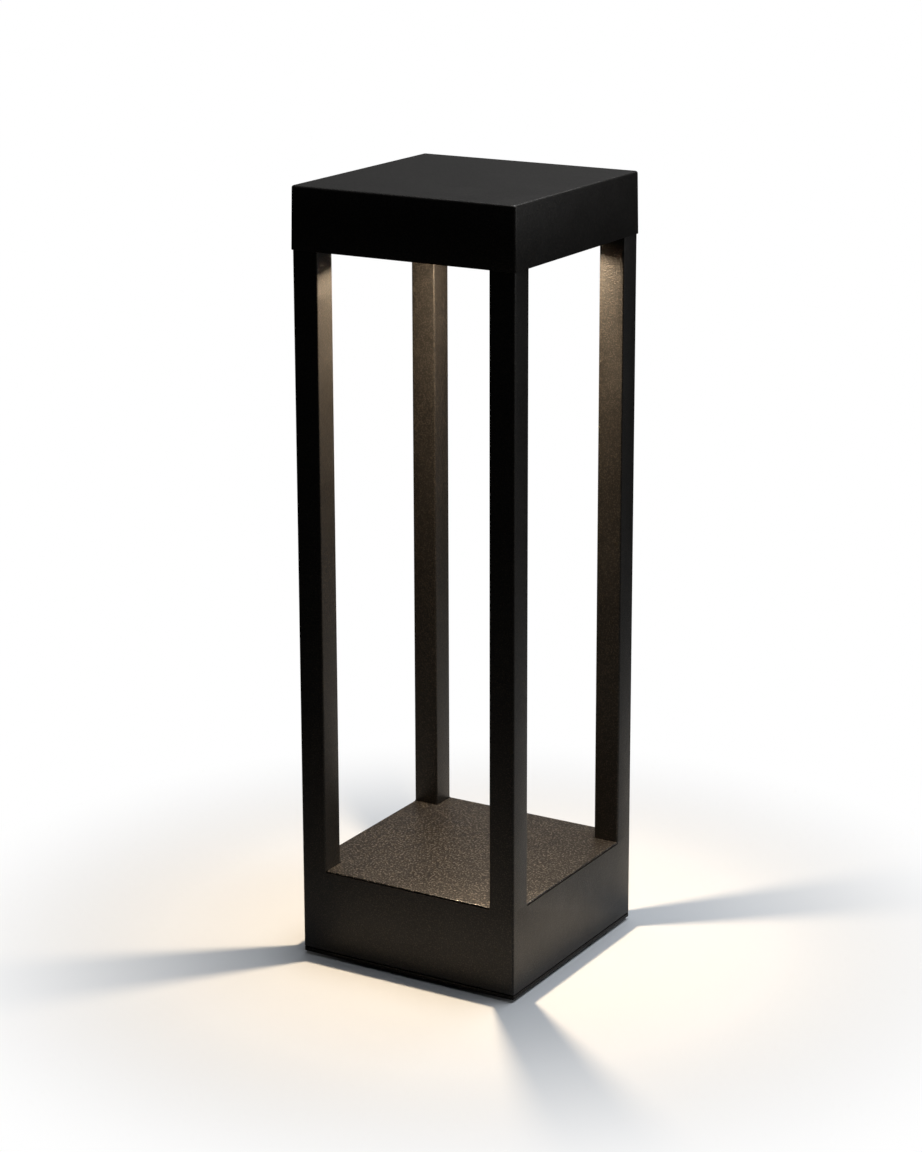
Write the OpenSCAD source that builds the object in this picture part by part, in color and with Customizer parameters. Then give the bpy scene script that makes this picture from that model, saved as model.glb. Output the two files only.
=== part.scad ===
// Square bollard light: a downlight head carried on four corner posts over a low base.
// Origin at the centre of the base on the ground, +Z up, sizes in millimetres.

/* [Overall size] */
// Height from the ground to the top of the head cap
total_h = 500; // [300:1:1000]
// Width of the square body, measured over the posts
body_w = 155.5; // [150:0.5:240]
// Radius of the long outside edges
edge_r = 1.2; // [0.6:0.1:2]

/* [Base] */
// Height of the deck's top face above the ground
deck_z = 60; // [57:0.5:120]
// Thickness of the deck plate
deck_t = 1.5; // [1:0.5:3]
// How far the deck's edge stays inside the base's outer face
deck_inset = 0.4; // [0:0.1:1]
// Wall of the cast base housing
base_wall = 3; // [2.5:0.5:3.5]
// Height of the corner pads that the posts stand on
pad_h = 14; // [8:1:20]
// Thickness of the ground plate
ground_t = 3; // [2:0.5:6]
// Thickness of the rubber pad under the ground plate
foot_pad_t = 1.5; // [1:0.5:4]
// How far the rubber pad stays inside the ground plate's edge
foot_pad_inset = 4; // [1:0.5:10]
// Thickness of the seal under the base housing
base_seal_t = 0.5; // [0.5:0.1:2]
// How far the seal stays inside the base's outer face
base_seal_inset = 1; // [0.5:0.1:1.5]
// Height of the lugs that locate the base housing on the ground plate
lug_h = 13; // [9:0.5:16]
// Length of one locating lug
lug_l = 50; // [30:1:70]
// Thickness of a locating lug
lug_t = 3; // [2:0.5:4]
// Clearance between the lugs and the base housing
lug_clearance = 0.4; // [0.2:0.1:1]
// Distance between anchor bolts, in both directions
anchor_pitch = 100; // [80:1:110]
// Diameter of an anchor bolt hole
anchor_d = 7; // [5.5:0.5:10]
// Bore of the grommet for the supply cable
supply_bore_d = 10; // [7:0.5:14]
// Rubber around the supply cable's bore
grommet_wall = 4; // [3:0.5:6]

/* [Posts] */
// Side of one square post
post_w = 17.5; // [17:0.5:30]
// Wall of the post extrusion
post_wall = 1.6; // [1.2:0.1:2.4]
// Height that each post rises inside the head cap
post_rise = 0.7; // [0.5:0.1:2]

/* [Head cap] */
// Height of the head cap
cap_h = 39.5; // [32:0.5:80]
// Thickness of the cap's top
cap_top_t = 2.5; // [2:0.5:5]
// Least thickness of the cap's rim
cap_wall = 2.5; // [2:0.1:3]
// How far the cap's lower edge stands proud of the posts
cap_proud_low = 1; // [0.5:0.1:2]
// How far the cap's upper edge stands proud of the posts
cap_proud_top = 0.4; // [0:0.1:1]
// Gap between the cap's rim and the shoulder of the posts
cap_gap = 0.3; // [0.2:0.1:1]
// Clearance around the head tray inside the cap
tray_clearance = 0.4; // [0.2:0.1:1]
// Thickness of the head tray
tray_t = 3.5; // [3:0.5:6]
// Thickness of the seal between tray and cap
cap_seal_t = 2; // [1.5:0.5:4]
// Width of the seal between tray and cap
cap_seal_w = 3; // [2:0.5:5]
// Radius of the bosses that take the cap screws
boss_r = 4.5; // [4:0.5:6]

/* [Light module] */
// Diameter of the light opening in the tray
aperture_d = 58; // [50:1:64]
// Thickness of the glass
glass_t = 3; // [2:0.5:5]
// Width of the glass that lies on the seal
glass_lap = 1.2; // [1:0.1:3]
// Thickness of the seal under the glass
glass_seal_t = 0.8; // [0.5:0.1:1.5]
// Gap between the glass and the face of the light source
light_gap = 6; // [3:0.5:8]
// Diameter of the light-emitting face
emitter_d = 12; // [6:1:14]
// Diameter of the LED board
board_d = 44; // [40:1:50]
// Thickness of the LED board
board_t = 1.6; // [1:0.1:2]
// Thickness of the heat sink's plate
sink_plate_t = 3; // [2:0.5:5]
// Distance between the heat sink's fins
fin_pitch = 8; // [7:0.5:10]
// Thickness of one fin
fin_t = 1.6; // [1:0.1:2]
// Clearance between the fins and the cap's top
fin_clearance = 3.5; // [2:0.5:8]

/* [Gear in the base] */
// Thickness of the gear tray
gear_tray_t = 1.5; // [1:0.5:3]
// Length of the LED driver
driver_l = 100; // [80:1:110]
// Width of the LED driver
driver_w = 36; // [25:1:40]
// Height of the LED driver
driver_h = 24; // [15:1:26]
// Length of the terminal block
terminal_l = 40; // [36:1:44]
// Width of the terminal block
terminal_w = 18; // [14:1:20]
// Height of the terminal block
terminal_h = 15; // [12:1:18]
// Diameter of the cable from the driver to the light
cable_d = 5; // [4:0.5:6]
// Diameter of one single lead
lead_d = 2.2; // [1.6:0.1:2.6]

/* [Fixings] */
// Diameter of the M4 screws
m4_d = 4; // [3:0.5:5]
// Diameter of the M3 screws
m3_d = 3; // [2.5:0.5:3.5]
// Diameter of the M5 set screws
m5_d = 5; // [4:0.5:6]
// Radial clearance of a screw in its hole
screw_clearance = 0.05; // [0.03:0.01:0.1]
// Radial clearance of the captive cap screws in the cap's bosses
captive_clearance = 0.3; // [0.3:0.05:0.5]
// Clearance of a cable in the socket that it is plugged into
socket_clearance = 0.4; // [0.2:0.1:0.8]

/* [Hidden] */
$fn = 48;
eps = 0.01;

// Heights, from the ground up
half = body_w / 2;
plate_z = foot_pad_t;
plate_top = plate_z + ground_t;
base_z = plate_top + base_seal_t;
deck_under = deck_z - deck_t;
pad_z = deck_z - pad_h;
cap_z = total_h - cap_h;
shoulder_z = cap_z - cap_gap;
tray_z = cap_z + post_rise;
tray_top = tray_z + tray_t;
cap_step_z = tray_top + cap_seal_t;
cap_inside_z = total_h - cap_top_t;

// Plan sizes
cavity_half = half + cap_proud_top - cap_wall;
tray_half = cavity_half - tray_clearance;
upper_cavity_half = cavity_half - 1.5;
post_in = half - post_w;
cable_way = cable_d + 0.7;
port_block = post_w - 2 * post_wall - cable_way;
cable_xy = post_in + post_wall + cable_way / 2;
csk_r = m4_d * 0.94;
csk_h = m4_d * 0.55;
port_xy = post_in + post_wall + cable_way + m4_d / 2 + 1.2;
boss_at = tray_half - 0.1 - cap_seal_w - 0.4 - boss_r;
boss_bore_h = 12;
boss_rib_t = 2;
cap_screw_l = 13;
tray_screw_l = 14;
foot_screw_grip = 14;
washer_r = 3.2;
washer_t = 0.8;
inner_half = half - base_wall;
cap_corner_r = 1.8;
cap_edge_r = 1.5;

// Light module, from the tray's lip up
lip_t = 2;
aperture_r = aperture_d / 2;
glass_r = aperture_r + glass_lap;
rebate_r = glass_r + 0.4;
collar_w = 8.4;
collar_r = rebate_r + collar_w;
glass_z = tray_z + lip_t + glass_seal_t;
glass_top = glass_z + glass_t;
collar_top = glass_top + 1.2;
ring_t = 1.5;
emitter_z = glass_top + light_gap;
emitter_t = 0.6;
board_z = emitter_z + emitter_t;
pad_t = 0.3;
sink_z = board_z + board_t + pad_t;
sink_top = cap_inside_z - fin_clearance;
pillar_r = 3.2;
pillar_fin_gap = ceil((collar_r + pillar_r + 0.8) / sqrt(2) / fin_pitch - 0.5);
pillar_xy = (pillar_fin_gap + 0.5) * fin_pitch;
sink_half = pillar_xy + 6;
fins_each_side = floor((sink_half - fin_t / 2) / fin_pitch);
reflector_t = 0.8;
reflector_r = aperture_r - 1.6;
clamp_screw_r = rebate_r + collar_w / 2;

// Gear in the base
stud_x = inner_half - 9;
stud_y = 25;
stud_l = 10;
stud_play = 0.6;
ledge_t = 4;
gear_top = deck_under - ledge_t;
gear_z = gear_top - gear_tray_t;
nut_h = 3.2;
driver_y = -8 - driver_w / 2;
driver_z = gear_z - driver_h;
led_socket_h = 11;
mains_socket_h = 12;
live_y = driver_y - 6;
neutral_y = driver_y + 2;
ear_l = 8;
ear_w = 16;
ear_t = 3;
terminal_y = 14 + terminal_w / 2;
terminal_z = gear_z - terminal_h;
pole_pitch = 12;
pole_z = terminal_z + 6;
terminal_sink_h = 3;
earth_at = [-42, 24];
earth_ring_t = 0.8;
tip_l = 1.5;
set_screw_z = base_z + 6;
set_screw_x = 15;
connector_at = [-(sink_half + 10), 24];
connector_size = [12, 14, 9];
connector_mouth_y = connector_at[1] + connector_size[1] / 2;
tray_grommet_r = cable_d / 2 + 1.1;
connector_z = tray_top + connector_size[2] / 2;
socket_depth = 4;
led_lead_d = 1.1;
led_lead_pitch = 5;

function unit(v) = v / norm(v);
function last(p) = p[len(p) - 1];

// Smooth curve through the points, with the given number of steps between two of them
function spline(a, b, c, d, t) =
    0.5 * (2 * b + (c - a) * t + (2 * a - 5 * b + 4 * c - d) * t * t + (3 * b - a - 3 * c + d) * t * t * t);
function smooth(p, steps) = [
    for (i = [0:len(p) - 2]) for (s = [0:steps - 1])
        spline(p[max(i - 1, 0)], p[i], p[i + 1], p[min(i + 2, len(p) - 1)], s / steps),
    last(p)];
function tangent(p, i) = unit(p[min(i + 1, len(p) - 1)] - p[max(i - 1, 0)]);
function across(t) = unit(abs(t[2]) < 0.9 ? cross(t, [0, 0, 1]) : cross(t, [1, 0, 0]));
// One normal for each point, carried along the path without twist
function square_to(n, t) = unit(n - (n * t) * t);
function normals(p) = [
    for (i = 0, n = across(tangent(p, 0)); i < len(p);
         i = i + 1, n = square_to(n, tangent(p, min(i, len(p) - 1)))) n];

// Round wire along a path, as one closed solid
module wire(path, d, sides = 8) {
    n = normals(path);
    rings = [for (i = [0:len(path) - 1]) for (k = [0:sides - 1])
        path[i] + d / 2 * (cos(360 * k / sides) * n[i] + sin(360 * k / sides) * cross(tangent(path, i), n[i]))];
    top = (len(path) - 1) * sides;
    polyhedron(points = rings, faces = concat(
        [[for (k = [0:sides - 1]) k]],
        [[for (k = [sides - 1:-1:0]) top + k]],
        [for (i = [0:len(path) - 2]) for (k = [0:sides - 1])
            [i * sides + k, (i + 1) * sides + k, (i + 1) * sides + (k + 1) % sides, i * sides + (k + 1) % sides]]));
}

// Children at the four corners, mirrored from the +X +Y corner
module four_corners() {
    for (mx = [0, 1]) for (my = [0, 1])
        mirror([mx, 0, 0]) mirror([0, my, 0]) children();
}

// Children at the middle of the four sides, turned from the +X side
module four_sides() {
    for (a = [0:90:270]) rotate(a) children();
}

module rounded_square(side, r) {
    square([side, side - 2 * r], center = true);
    square([side - 2 * r, side], center = true);
    for (x = [-1, 1]) for (y = [-1, 1])
        translate([x * (side / 2 - r), y * (side / 2 - r)]) circle(r);
}

module square_ring(outer_half, width, h) {
    linear_extrude(h) difference() {
        square(2 * outer_half, center = true);
        square(2 * (outer_half - width), center = true);
    }
}

module ring(r_out, r_in, h) {
    difference() {
        cylinder(r = r_out, h = h);
        translate([0, 0, -1]) cylinder(r = r_in, h = h + 2);
    }
}

// Countersunk screw standing on its tip, head up, from z = 0 to z = l, with a cross-shaped drive recess
module countersunk(d, l) {
    head_r = d * 0.94;
    head_h = d * 0.55;
    difference() {
        union() {
            cylinder(d = d, h = l - head_h + eps);
            translate([0, 0, l - head_h]) cylinder(r1 = d / 2, r2 = head_r, h = head_h);
        }
        for (a = [0, 90]) translate([0, 0, l]) rotate(a) cube([d, d * 0.18, d * 0.5], center = true);
    }
}

// Cheese-head screw: shank from z = 0 to z = l, head above
module cheese_head(d, l) {
    head_h = d * 0.6;
    difference() {
        union() {
            cylinder(d = d, h = l + head_h / 2);
            translate([0, 0, l]) cylinder(d = d * 1.75, h = head_h);
        }
        for (a = [0, 90]) translate([0, 0, l + head_h]) rotate(a) cube([d * 1.1, d * 0.2, d * 0.6], center = true);
    }
}

module flip(z) {
    translate([0, 0, z]) mirror([0, 0, 1]) children();
}

// ---- Ground plate and what is fixed to it ----

// Flat sheet of the base's outline with the anchor holes and the cable hole
module ground_sheet(side, r, t) {
    difference() {
        linear_extrude(t) rounded_square(side, r);
        four_corners() translate([anchor_pitch / 2, anchor_pitch / 2, -1]) cylinder(d = anchor_d, h = t + 2);
        translate([0, 0, -1]) cylinder(r = supply_bore_d / 2 + grommet_wall, h = t + 2);
    }
}

module foot_pad() color("#0c0c0c")
    ground_sheet(body_w - 2 * foot_pad_inset, 3, foot_pad_t);

module ground_plate() color("#2a2724")
    translate([0, 0, plate_z]) ground_sheet(body_w, edge_r, ground_t);

module locating_lugs() color("#2a2724") {
    for (a = [0:90:270]) rotate(a)
        translate([inner_half - lug_clearance - lug_t, -lug_l / 2, plate_top]) cube([lug_t, lug_l, lug_h]);
}

module base_seal() color("#0c0c0c")
    translate([0, 0, plate_top]) square_ring(half - base_seal_inset, base_wall - base_seal_inset, base_seal_t);

module cable_grommet() color("#0c0c0c") {
    flange_t = 2;
    flange_r = supply_bore_d / 2 + grommet_wall + 3;
    difference() {
        union() {
            cylinder(r = supply_bore_d / 2 + grommet_wall, h = plate_top + flange_t);
            translate([0, 0, plate_top]) cylinder(r = flange_r, h = flange_t);
        }
        translate([0, 0, -1]) cylinder(d = supply_bore_d, h = plate_top + flange_t + 2);
    }
}

// ---- Base ----

module base_housing() color("#2a2724") {
    ledge = [14, 12];
    difference() {
        union() {
            translate([0, 0, base_z]) linear_extrude(deck_under - base_z) difference() {
                rounded_square(body_w, edge_r);
                square(2 * inner_half, center = true);
            }
            // corner pads that the posts stand on
            four_corners() intersection() {
                translate([0, 0, pad_z]) linear_extrude(pad_h) rounded_square(body_w, edge_r);
                translate([post_in, post_in, pad_z]) cube([post_w, post_w, pad_h]);
            }
            // ledges under the deck
            four_corners() translate([inner_half - ledge[0], stud_y - ledge[1] / 2, deck_under - ledge_t])
                cube([ledge[0] + 1, ledge[1], ledge_t]);
        }
        four_corners() {
            translate([stud_x, stud_y, gear_top - 1]) cylinder(d = m4_d + stud_play, h = ledge_t + 2);
            translate([port_xy, port_xy, pad_z - 1]) cylinder(r = m4_d / 2 + screw_clearance, h = pad_h + 2);
        }
        translate([-cable_xy, cable_xy, pad_z - 1]) cylinder(d = cable_d + 0.6, h = pad_h + 2);
        for (x = [-1, 1]) {
            translate([x * set_screw_x, inner_half - 1, set_screw_z]) rotate([-90, 0, 0])
                cylinder(r = m5_d / 2 + screw_clearance, h = base_wall + 2);
            translate([-inner_half + 1, x * set_screw_x, set_screw_z]) rotate([0, -90, 0])
                cylinder(r = m5_d / 2 + screw_clearance, h = base_wall + 2);
        }
    }
}

module deck_plate() color("#2f2b28") {
    notch = post_w + 0.1;
    translate([0, 0, deck_under]) linear_extrude(deck_t) difference() {
        square(2 * (half - deck_inset), center = true);
        four_corners() translate([half - notch, half - notch]) square(notch);
    }
    four_corners() translate([stud_x, stud_y, deck_under - stud_l]) cylinder(d = m4_d, h = stud_l + deck_t / 2);
}

module deck_nuts() color("silver") {
    four_corners() translate([stud_x, stud_y, gear_z - nut_h]) difference() {
        cylinder(d = m4_d * 2, h = nut_h, $fn = 6);
        translate([0, 0, -1]) cylinder(r = m4_d / 2 + screw_clearance, h = nut_h + 2);
    }
}

module gear_tray() color("gainsboro") {
    tray_l = 2 * (inner_half - 3);
    tray_y = 2 * (stud_y + 22);
    difference() {
        translate([-tray_l / 2, -tray_y / 2, gear_z]) cube([tray_l, tray_y, gear_tray_t]);
        four_corners() translate([stud_x, stud_y, gear_z - 1]) cylinder(d = m4_d + stud_play, h = gear_tray_t + 2);
        for (x = [-1, 1]) {
            translate([x * (driver_l + ear_l) / 2, driver_y, gear_z - 1])
                cylinder(r = m3_d / 2 + screw_clearance, h = gear_tray_t + 2);
            translate([x * pole_pitch / 2, terminal_y, gear_z - 1])
                cylinder(r = m3_d / 2 + screw_clearance, h = gear_tray_t + 2);
        }
        translate([earth_at[0], earth_at[1], gear_z - 1]) cylinder(r = m4_d / 2 + screw_clearance, h = gear_tray_t + 2);
    }
}

module led_driver() color("whitesmoke") {
    difference() {
        union() {
            translate([0, driver_y, driver_z]) linear_extrude(driver_h)
                square([driver_l, driver_w], center = true);
            for (x = [-1, 1]) translate([x * (driver_l + ear_l) / 2, driver_y, gear_z - ear_t / 2])
                cube([ear_l + 2 * eps, ear_w, ear_t], center = true);
        }
        for (x = [-1, 1]) translate([x * (driver_l + ear_l) / 2, driver_y, gear_z - ear_t - 1])
            cylinder(r = m3_d / 2 + screw_clearance, h = ear_t + 2);
        // sockets for the LED cable and the mains leads
        translate([-driver_l / 2 - 1, driver_y, driver_z + led_socket_h]) rotate([0, 90, 0])
            cylinder(r = cable_d / 2 + socket_clearance, h = socket_depth + 1);
        for (y = [live_y, neutral_y]) translate([driver_l / 2 - socket_depth, y, driver_z + mains_socket_h])
            rotate([0, 90, 0]) cylinder(r = lead_d / 2 + socket_clearance, h = socket_depth + 1);
    }
}

module driver_screws() color("silver") {
    for (x = [-1, 1]) translate([x * (driver_l + ear_l) / 2, driver_y, 0])
        flip(gear_top + tip_l) cheese_head(m3_d, gear_tray_t + ear_t + tip_l);
}

module terminal_block() color("ivory") {
    difference() {
        translate([-terminal_l / 2, terminal_y - terminal_w / 2, terminal_z]) cube([terminal_l, terminal_w, terminal_h]);
        for (i = [-1:1]) {
            translate([i * pole_pitch, terminal_y - terminal_w / 2 - 1, pole_z]) rotate([-90, 0, 0])
                cylinder(d = lead_d + 0.8, h = 4);
            translate([i * pole_pitch, terminal_y + terminal_w / 2 - 3, pole_z]) rotate([-90, 0, 0])
                cylinder(d = lead_d + 1.8, h = 4);
        }
        for (x = [-1, 1]) translate([x * pole_pitch / 2, terminal_y, terminal_z - 1]) {
            cylinder(r = m3_d / 2 + screw_clearance, h = terminal_h + 2);
            cylinder(r = m3_d, h = terminal_sink_h + 1);
        }
    }
}

module terminal_screws() color("silver") {
    for (x = [-1, 1]) translate([x * pole_pitch / 2, terminal_y, 0])
        flip(gear_top + tip_l) cheese_head(m3_d, gear_tray_t + terminal_h - terminal_sink_h + tip_l);
}

module earth_ring() color("silver")
    translate([earth_at[0], earth_at[1], gear_z - earth_ring_t])
        ring(m4_d, m4_d / 2 + screw_clearance, earth_ring_t);

module earth_screw() color("silver")
    translate([earth_at[0], earth_at[1], 0])
        flip(gear_top + tip_l) cheese_head(m4_d, gear_tray_t + earth_ring_t + tip_l);

// Set screw that runs inward to just short of a lug, with a hexagonal drive recess
module set_screw() difference() {
    cylinder(d = m5_d, h = base_wall + lug_clearance - 0.5);
    translate([0, 0, -1]) cylinder(d = m5_d * 0.5, h = 2.8, $fn = 6);
}

module body_set_screws() color("#3a3a3a") {
    for (x = [-1, 1]) {
        translate([x * set_screw_x, half - 0.2, set_screw_z]) rotate([90, 0, 0]) set_screw();
        translate([-half + 0.2, x * set_screw_x, set_screw_z]) rotate([0, 90, 0]) set_screw();
    }
}

// ---- Posts ----

// Extrusion at the +X +Y corner: a square tube with a solid screw port in its outer corner
module post_profile() {
    centre = half - post_w / 2;
    difference() {
        translate([centre, centre]) rounded_square(post_w, edge_r);
        difference() {
            translate([centre, centre]) square(post_w - 2 * post_wall, center = true);
            translate([half - post_wall - port_block, half - post_wall - port_block]) square(port_block);
        }
        translate([port_xy, port_xy]) circle(r = m4_d / 2 + screw_clearance);
    }
}

module post() color("#2a2724") {
    intersection() {
        translate([0, 0, deck_z]) linear_extrude(tray_z - deck_z) post_profile();
        union() {
            translate([0, 0, deck_z - 1]) cube([2 * half, 2 * half, shoulder_z - deck_z + 1]);
            translate([0, 0, deck_z]) cube([tray_half - 0.1, tray_half - 0.1, total_h]);
        }
    }
}

module post_back_right() post();
module post_back_left() mirror([1, 0, 0]) post();
module post_front_right() mirror([0, 1, 0]) post();
module post_front_left() mirror([1, 0, 0]) mirror([0, 1, 0]) post();

module post_foot_screws() color("silver") {
    four_corners() translate([port_xy, port_xy, 0])
        flip(deck_z + foot_screw_grip) cheese_head(m4_d, pad_h + foot_screw_grip);
}

// ---- Head ----

module head_tray() color("#211f1d") {
    difference() {
        union() {
            translate([0, 0, tray_z]) linear_extrude(tray_t) rounded_square(2 * tray_half, edge_r);
            translate([0, 0, tray_z]) cylinder(r = collar_r, h = collar_top - tray_z);
        }
        translate([0, 0, tray_z - 1]) cylinder(r = aperture_r, h = lip_t + 2);
        translate([0, 0, tray_z + lip_t]) cylinder(r = rebate_r, h = tray_t + 10);
        for (a = [45:90:315]) rotate(a) translate([clamp_screw_r, 0, tray_z + 2.4])
            cylinder(r = m3_d / 2 + screw_clearance, h = tray_t + 10);
        four_corners() {
            translate([port_xy, port_xy, tray_z - 1]) cylinder(r = m4_d / 2 + screw_clearance, h = tray_t + 2);
            translate([port_xy, port_xy, tray_top - csk_h - 0.1])
                cylinder(r1 = m4_d / 2 + screw_clearance, r2 = csk_r + 0.15, h = csk_h + 0.1 + eps);
            translate([pillar_xy, pillar_xy, tray_z + 0.8]) cylinder(r = m3_d / 2 + screw_clearance, h = tray_t);
        }
        four_sides() translate([boss_at, 0, tray_z - eps]) {
            cylinder(r = m4_d / 2 + screw_clearance, h = tray_t + 1);
            cylinder(r1 = csk_r + 0.15, r2 = m4_d / 2 + screw_clearance, h = csk_h + 0.1 + eps);
        }
        translate([-cable_xy, cable_xy, tray_z - 1]) cylinder(r = tray_grommet_r, h = tray_t + 2);
    }
}

module tray_screws() color("silver")
    four_corners() translate([port_xy, port_xy, tray_top - tray_screw_l]) countersunk(m4_d, tray_screw_l);

module cap_screws() color("silver")
    four_sides() translate([boss_at, 0, 0]) flip(tray_z + cap_screw_l) countersunk(m4_d, cap_screw_l);

module captive_washers() color("silver")
    four_sides() translate([boss_at, 0, tray_top]) ring(washer_r, m4_d / 2 + screw_clearance, washer_t);

module cap_seal() color("#0c0c0c")
    translate([0, 0, tray_top]) square_ring(tray_half - 0.1, cap_seal_w, cap_seal_t);

module glass_seal() color("#0c0c0c")
    translate([0, 0, tray_z + lip_t]) ring(glass_r, aperture_r, glass_seal_t);

module lens_glass() color("lightcyan", 0.4)
    translate([0, 0, glass_z]) cylinder(r = glass_r, h = glass_t);

module clamp_ring() color("#3b3936") {
    ring_in = aperture_r - 1;
    difference() {
        union() {
            translate([0, 0, glass_top]) ring(glass_r, ring_in, collar_top - glass_top + eps);
            translate([0, 0, collar_top]) ring(collar_r, ring_in, ring_t);
        }
        for (a = [45:90:315]) rotate(a) translate([clamp_screw_r, 0, 0]) {
            translate([0, 0, glass_top]) cylinder(r = m3_d / 2 + screw_clearance, h = 10);
            translate([0, 0, collar_top + ring_t - m3_d * 0.55 + 0.2])
                cylinder(r1 = m3_d / 2 + screw_clearance, r2 = m3_d * 0.94 + 0.1, h = m3_d * 0.55 - 0.2 + eps);
        }
    }
}

module clamp_ring_screws() color("silver") {
    screw_l = ring_t + collar_top - tray_z - 3;
    for (a = [45:90:315]) rotate(a)
        translate([clamp_screw_r, 0, collar_top + ring_t - screw_l]) difference() {
            union() {
                cylinder(d = m3_d, h = screw_l - 1);
                translate([0, 0, screw_l - 1.3]) cylinder(r1 = m3_d / 2 - 0.05, r2 = m3_d * 0.9, h = 1.3);
            }
            for (b = [0, 90]) translate([0, 0, screw_l]) rotate(b) cube([m3_d, 0.6, 1.2], center = true);
        }
}

module reflector() color("white") {
    hole_r = emitter_d / 2 + 1.5;
    flat_r = hole_r + 6.5;
    rim = reflector_r - reflector_t;
    rotate_extrude() polygon([
        [hole_r, board_z], [flat_r, board_z], [reflector_r, glass_top + reflector_t],
        [reflector_r, glass_top], [rim, glass_top],
        [flat_r - 0.5, board_z - reflector_t], [hole_r, board_z - reflector_t]]);
}

module led_emitter() color("gold")
    translate([0, 0, emitter_z]) cylinder(d = emitter_d, h = emitter_t);

module led_board() color("white")
    translate([0, 0, board_z]) cylinder(d = board_d, h = board_t);

module thermal_pad() color("lightblue")
    translate([0, 0, board_z + board_t]) cylinder(d = board_d, h = pad_t);

module heat_sink() color("silver") {
    difference() {
        union() {
            translate([-sink_half, -sink_half, sink_z]) cube([2 * sink_half, 2 * sink_half, sink_plate_t]);
            for (i = [-fins_each_side:fins_each_side])
                translate([i * fin_pitch - fin_t / 2, -sink_half, sink_z])
                    cube([fin_t, 2 * sink_half, sink_top - sink_z]);
        }
        four_corners() translate([pillar_xy, pillar_xy, sink_z - 1])
            cylinder(r = m3_d / 2 + screw_clearance, h = sink_plate_t + 2);
    }
}

module heat_sink_pillars() color("silver")
    four_corners() translate([pillar_xy, pillar_xy, tray_top]) difference() {
        cylinder(r = pillar_r, h = sink_z - tray_top, $fn = 6);
        translate([0, 0, -1]) cylinder(r = m3_d / 2 + screw_clearance, h = sink_z - tray_top + 2);
    }

module heat_sink_screws() color("silver")
    four_corners() translate([pillar_xy, pillar_xy, tray_z + 1])
        cheese_head(m3_d, sink_z + sink_plate_t - tray_z - 1);

// ---- Wiring ----

// From the driver along the base, up the back left post and over to the connector in the head
led_cable_path = concat(
    smooth([
        [-driver_l / 2 + 3, driver_y, driver_z + led_socket_h],
        [-driver_l / 2 - 5, driver_y, driver_z + led_socket_h],
        [-driver_l / 2 - 13, driver_y + 7, driver_z + 9],
        [-cable_xy - 1, -4, driver_z + 7],
        [-cable_xy - 2, 22, driver_z + 4],
        [-cable_xy - 1, cable_xy - 22, driver_z + 3],
        [-cable_xy, cable_xy - 8, driver_z + 6],
        [-cable_xy, cable_xy - 1, pad_z - 5],
        [-cable_xy, cable_xy, pad_z + 4]], 2),
    smooth([
        [-cable_xy, cable_xy, tray_z - 4],
        [-cable_xy, cable_xy, tray_top + 5],
        [-cable_xy - 0.5, cable_xy - 4, tray_top + 13],
        [-cable_xy - 1, cable_xy - 13, tray_top + 15],
        [-cable_xy - 1, cable_xy - 22, tray_top + 9],
        [connector_at[0], connector_mouth_y + 5, connector_z],
        [connector_at[0], connector_mouth_y - 3, connector_z]], 2));

module led_cable() color("#161616") wire(led_cable_path, cable_d);

module tray_grommet() color("#0c0c0c")
    translate([-cable_xy, cable_xy, tray_z]) ring(tray_grommet_r - 0.05, cable_d / 2 + 0.15, tray_t + 2);

module led_connector() color("white") {
    difference() {
        translate([connector_at[0], connector_at[1], connector_z]) cube(connector_size, center = true);
        translate([connector_at[0], connector_mouth_y - socket_depth, connector_z]) rotate([-90, 0, 0])
            cylinder(r = cable_d / 2 + socket_clearance, h = socket_depth + 1);
        for (side = [-1, 1]) translate(led_lead_start(side)) rotate([0, 90, 0])
            cylinder(r = led_lead_d / 2 + socket_clearance, h = socket_depth);
    }
}

// One thin lead from the connector to the rim of the LED board, through the gap under the heat sink
function led_lead_start(side) = [connector_at[0] + connector_size[0] / 2 - socket_depth + 1,
    connector_at[1] + side * led_lead_pitch / 2, connector_z + 1];

module led_lead(side) {
    start = led_lead_start(side) + [0.5, 0, 0];
    lead_z = board_z + board_t / 2;
    angle = 150 - side * 6;
    rim = (board_d / 2) * [cos(angle), sin(angle)];
    wire(smooth([start, start + [4, 0, 0], [start[0] + 10, start[1] - 1, lead_z],
        [rim[0] * 1.4, rim[1] * 1.35, lead_z], [rim[0], rim[1], lead_z]], 2), led_lead_d);
}

module led_lead_plus() color("red") led_lead(1);
module led_lead_minus() color("black") led_lead(-1);

// One mains lead from the terminal block round to the right-hand end of the driver
module mains_lead(pole, end_y) {
    entry = [pole * pole_pitch, terminal_y - terminal_w / 2 + 2.5, pole_z];
    end = [driver_l / 2 - 3, end_y, driver_z + mains_socket_h];
    bend = 4 + 4 * pole;
    run_y = entry[1] - 10 + 4 * pole;
    wire(smooth([entry, [entry[0], run_y + 2, pole_z], [entry[0] + 7, run_y, pole_z],
        [driver_l / 2 - 10, run_y, pole_z], [driver_l / 2 + bend - 2, driver_y + driver_w / 2 + bend - 4, pole_z],
        [driver_l / 2 + bend + 1, end_y + 6, end[2]], end + [bend + 1, 0, 0], end], 2), lead_d);
}

module lead_live() color("saddlebrown") mains_lead(1, live_y);
module lead_neutral() color("royalblue") mains_lead(0, neutral_y);

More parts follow.
